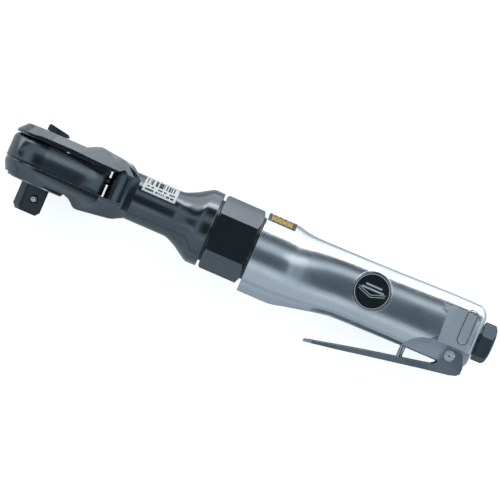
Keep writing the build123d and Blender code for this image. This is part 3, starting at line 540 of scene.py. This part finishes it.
def softened(node, name, width, segments=3, sharp=30, flat=0.05, slices=()):
    """A copy of a node with its edges rounded, or only smoothed where width is 0.

    Slices are X positions in mm where long faces are cut, so their shading has more corners."""
    mesh = nodes[node].data.copy()
    mesh.name = name
    shape = bmesh.new()
    shape.from_mesh(mesh)
    bmesh.ops.remove_doubles(shape, verts=shape.verts, dist=0.002 * MM)
    for x in slices:
        bmesh.ops.bisect_plane(shape, geom=shape.verts[:] + shape.edges[:] + shape.faces[:],
                               dist=1e-7, plane_co=(x * MM, 0, 0), plane_no=(1, 0, 0))
    if width:
        bmesh.ops.dissolve_limit(shape, angle_limit=math.radians(flat), verts=shape.verts, edges=shape.edges)
    for face in shape.faces:
        face.smooth = True
    for edge in shape.edges:
        edge.smooth = edge.calc_face_angle(math.pi) < math.radians(sharp)
    shape.to_mesh(mesh)
    shape.free()
    mesh.materials.clear()
    mesh.materials.append(finishes[node_slot[node]])
    piece = link_piece(name, mesh, node_body[node], [node])
    if width:
        rounding = piece.modifiers.new("rounding", "BEVEL")
        rounding.width = width * MM
        rounding.segments = segments
        rounding.limit_method = "ANGLE"
        rounding.angle_limit = math.radians(sharp)
        rounding.harden_normals = True
    print(name, len(mesh.polygons), "faces")
    return piece


head = softened("ratchet_head", "head_forging", 0.7)
yoke = softened("yoke", "yoke_casting", 0, sharp=50)
yoke.data.materials[0] = rounded_enamel
drive = softened("drive_anvil", "drive_spindle", 0.35)
nut = softened("coupling_nut", "coupling_hexagon", 0.45)
lever = softened("throttle_lever", "lever_channel", 0.3)
inlet = softened("inlet_bushing", "inlet_hexagon", 0.4)


# %% [markdown]
# ## The crowned yoke
# The yoke's visible faces are forged with a slight crown, so a soft highlight runs along their
# middle. The crown is too slight to show in outline: it is made by tilting the corner normals of
# the side faces a little more the further they are from the crown's line.

# %% Crown the yoke's faces
def crown(piece, middle, radius, inner):
    """Tilt the side faces' normals up and down as a crowned face would, beyond inner in Z."""
    crowned = []
    for face in piece.data.polygons:
        for loop in face.loop_indices:
            normal = Vector(piece.data.corner_normals[loop].vector)
            y = piece.data.vertices[piece.data.loops[loop].vertex_index].co.y / MM
            if abs(face.center.z / MM) > inner and abs(face.normal.y) < 0.96:
                own = math.asin(max(-1, min(1, normal.y)))
                tilt = own + (y - middle) / radius * (1 - abs(own) / (math.pi / 2))
                flat = Vector((normal.x, 0, normal.z)).normalized()
                normal = flat * math.cos(tilt) + Vector((0, math.sin(tilt), 0))
            crowned.append(normal)
    piece.data.normals_split_custom_set(crowned)
    print(piece.name, "crowned")


crown(yoke, -3.0, 26.0, 9.6)


# %% [markdown]
# ## Two finishes on one piece
# A casting is polished on the outside, but its flats are left rough from the mould and the
# milling. The faces of one piece can share its mesh and still take different finishes, picked by
# where a face lies and which way it looks.

# %% Give some faces of a piece another finish
def refinish(piece, finish, test):
    """Faces that pass test(centre in mm, normal) get another finish."""
    slot_index = len(piece.data.materials)
    piece.data.materials.append(finish)
    changed = 0
    for face in piece.data.polygons:
        if test(face.center / MM, face.normal):
            face.material_index = slot_index
            changed += 1
    print(piece.name, finish.name, changed, "faces")


# %% [markdown]
# ## The handle
# The real handle is one aluminium casting, polished until the reflections run smoothly from the
# round barrel through the waist into the squarer grip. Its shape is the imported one. Its
# triangles are long and uneven, which would break those reflections, so the corner normals on
# the outer skin come from one smooth form: an oval whose height, width and squareness change
# along the handle. The flats, bores and recesses keep their own normals.

# %% Polish the handle's skin
# Each station: x, top and bottom along Y, half width along Z, and squareness (2 is round).
SKIN = (
    (118.0, 20.8, -23.8, 20.8, 2.0), (136.5, 20.8, -23.8, 20.8, 2.0), (141.5, 19.75, -23.0, 20.0, 2.05),
    (146.0, 19.1, -21.8, 18.9, 2.15), (152.0, 18.9, -20.5, 18.1, 2.3), (160.0, 19.0, -18.7, 17.6, 2.5),
    (170.0, 19.1, -16.9, 17.3, 2.6), (190.0, 19.4, -16.4, 17.1, 2.7), (210.0, 20.0, -16.1, 17.1, 2.7),
    (228.0, 20.5, -15.9, 17.3, 2.8), (248.0, 20.5, -15.9, 17.3, 2.9),
)
PAD_Z = 16.5
WAIST_END = 150.0


def skin_row(x):
    """The skin's values at x, eased between stations."""
    for first, second in zip(SKIN, SKIN[1:]):
        if x <= second[0]:
            break
    t = min(max((x - first[0]) / (second[0] - first[0]), 0), 1)
    t = t * t * (3 - 2 * t) * 0.5 + t * 0.5
    return [a + t * (b - a) for a, b in zip(first[1:], second[1:])]


def skin_level(x, y, z):
    """1 on the smooth form, less inside it and more outside."""
    top, bottom, half, square = skin_row(x)
    high = abs(2 * y - top - bottom) / (top - bottom)
    return high ** square + (abs(z) / half) ** square


def skin_normal(point):
    """The direction in which the smooth form grows fastest, by small differences."""
    x, y, z = point / MM
    h, reach = 0.4, 4.0
    slope = Vector(((skin_level(x + reach, y, z) - skin_level(x - reach, y, z)) * h / reach,
                    skin_level(x, y + h, z) - skin_level(x, y - h, z),
                    skin_level(x, y, z + h) - skin_level(x, y, z - h)))
    return slope.normalized()


handle = softened("handle_housing", "handle_casting", 0,
                  slices=(121, 123, 125, 127, 129, 131, 133, 135, 230, 233, 236, 239, 242))
skin_mesh = handle.data
corner_normals = [Vector(c.vector) for c in skin_mesh.corner_normals]
polished = 0
for face in skin_mesh.polygons:
    x, y, z = face.center / MM
    on_pad = x > 224 and PAD_Z - 0.1 < abs(z) < PAD_Z + 0.5 and abs(face.normal.z) > 0.99
    on_form = x < 243.5 and x > 119.7 and abs(skin_level(x, y, z) - 1) < 0.35
    facing = 0.55 if x < WAIST_END else 0.86
    if on_form and not on_pad and face.normal.dot(skin_normal(face.center)) > facing:
        polished += 1
        for loop in face.loop_indices:
            vertex = skin_mesh.vertices[skin_mesh.loops[loop].vertex_index]
            corner_normals[loop] = skin_normal(vertex.co)
skin_mesh.normals_split_custom_set(corner_normals)
print("polished faces", polished, "of", len(skin_mesh.polygons))


def on_flat(c, n):
    """The flat pads and the milled recess beside the hinge."""
    return c.x > 209 and abs(n.z) > 0.999 and abs(c.z) < PAD_Z + 0.05 and abs(c.z) > 9


refinish(handle, cast_matte, on_flat)


def on_emboss(c, n):
    """The raised outline on each pad."""
    return 228 < c.x < 246 and PAD_Z + 0.02 < abs(c.z) < PAD_Z + 0.5


refinish(handle, cast_shadow, on_emboss)

# %% [markdown]
# ## The hinge screw
# The lever turns on a screw whose head is a polished dome: a ball's cap on a short collar. The
# dome catches one bright spark. It is a sphere cut by a plane, joined to two short cylinders.

# %% Turn the hinge screw
PIVOT = Vector((236.1, -10.8, 0)) * MM
HEAD_SEAT = 11.25


def add_rod(shape, radius, low, high, segments=48):
    """A capped cylinder along Z between two heights, in mm, at the pivot."""
    place = Matrix.Translation(PIVOT + Vector((0, 0, (low + high) / 2 * MM)))
    bmesh.ops.create_cone(shape, cap_ends=True, segments=segments, radius1=radius * MM, radius2=radius * MM,
                          depth=(high - low) * MM, matrix=place)


screw_mesh = bpy.data.meshes.new("hinge_screw")
shape = bmesh.new()
DOME_RADIUS, DOME_CENTRE = 3.5, 9.4
made = bmesh.ops.create_uvsphere(shape, u_segments=48, v_segments=32, radius=DOME_RADIUS * MM,
                                 matrix=Matrix.Translation(PIVOT + Vector((0, 0, DOME_CENTRE * MM))))
bmesh.ops.bisect_plane(shape, geom=shape.verts[:] + shape.edges[:] + shape.faces[:], dist=1e-7,
                       plane_co=PIVOT + Vector((0, 0, (HEAD_SEAT + 0.3) * MM)), plane_no=(0, 0, 1),
                       clear_inner=True)
bmesh.ops.holes_fill(shape, edges=[e for e in shape.edges if e.is_boundary], sides=0)
add_rod(shape, 3.0, HEAD_SEAT, HEAD_SEAT + 0.45)
add_rod(shape, 1.85, -13.0, HEAD_SEAT + 0.2)
for face in shape.faces:
    face.smooth = True
for edge in shape.edges:
    edge.smooth = edge.calc_face_angle(math.pi) < math.radians(40)
bmesh.ops.recalc_face_normals(shape, faces=shape.faces)
shape.to_mesh(screw_mesh)
shape.free()
screw_mesh.materials.append(finishes["bright_steel"])
link_piece("hinge_screw", screw_mesh, node_body["lever_screw"], ["lever_screw"])
print("hinge screw", len(screw_mesh.polygons), "faces")

# %% [markdown]
# ## The inlet thread
# The open end of the inlet bushing carries a pipe thread. Its ridges show as fine rings inside
# the mouth, so a ridged sleeve is spun round the bore's axis and sits just inside it.

# %% Spin the inlet thread
INLET_Y, INLET_BORE, THREAD_PITCH, THREAD_TURNS = 2.8, 5.6, 1.41, 7
thread_mesh = bpy.data.meshes.new("inlet_thread")
shape = bmesh.new()
outline = []
for k in range(THREAD_TURNS + 1):
    x = 255.0 - k * THREAD_PITCH
    outline += [(x, INLET_BORE - 0.05), (x - THREAD_PITCH / 2, INLET_BORE - 0.75)]
profile = [shape.verts.new((x * MM, INLET_Y * MM, r * MM)) for x, r in outline]
edges = [shape.edges.new(pair) for pair in zip(profile, profile[1:])]
bmesh.ops.spin(shape, geom=profile + edges, cent=(0, INLET_Y * MM, 0), axis=(1, 0, 0),
               angle=2 * math.pi, steps=64, use_merge=True)
bmesh.ops.recalc_face_normals(shape, faces=shape.faces)
bmesh.ops.reverse_faces(shape, faces=shape.faces)
shape.to_mesh(thread_mesh)
shape.free()
thread_mesh.materials.append(finishes["dark_plating"])
thread = link_piece("inlet_thread", thread_mesh, node_body["inlet_bushing"])
wall = thread.modifiers.new("wall", "SOLIDIFY")
wall.thickness = 0.04 * MM
print("thread", len(thread_mesh.polygons), "faces")
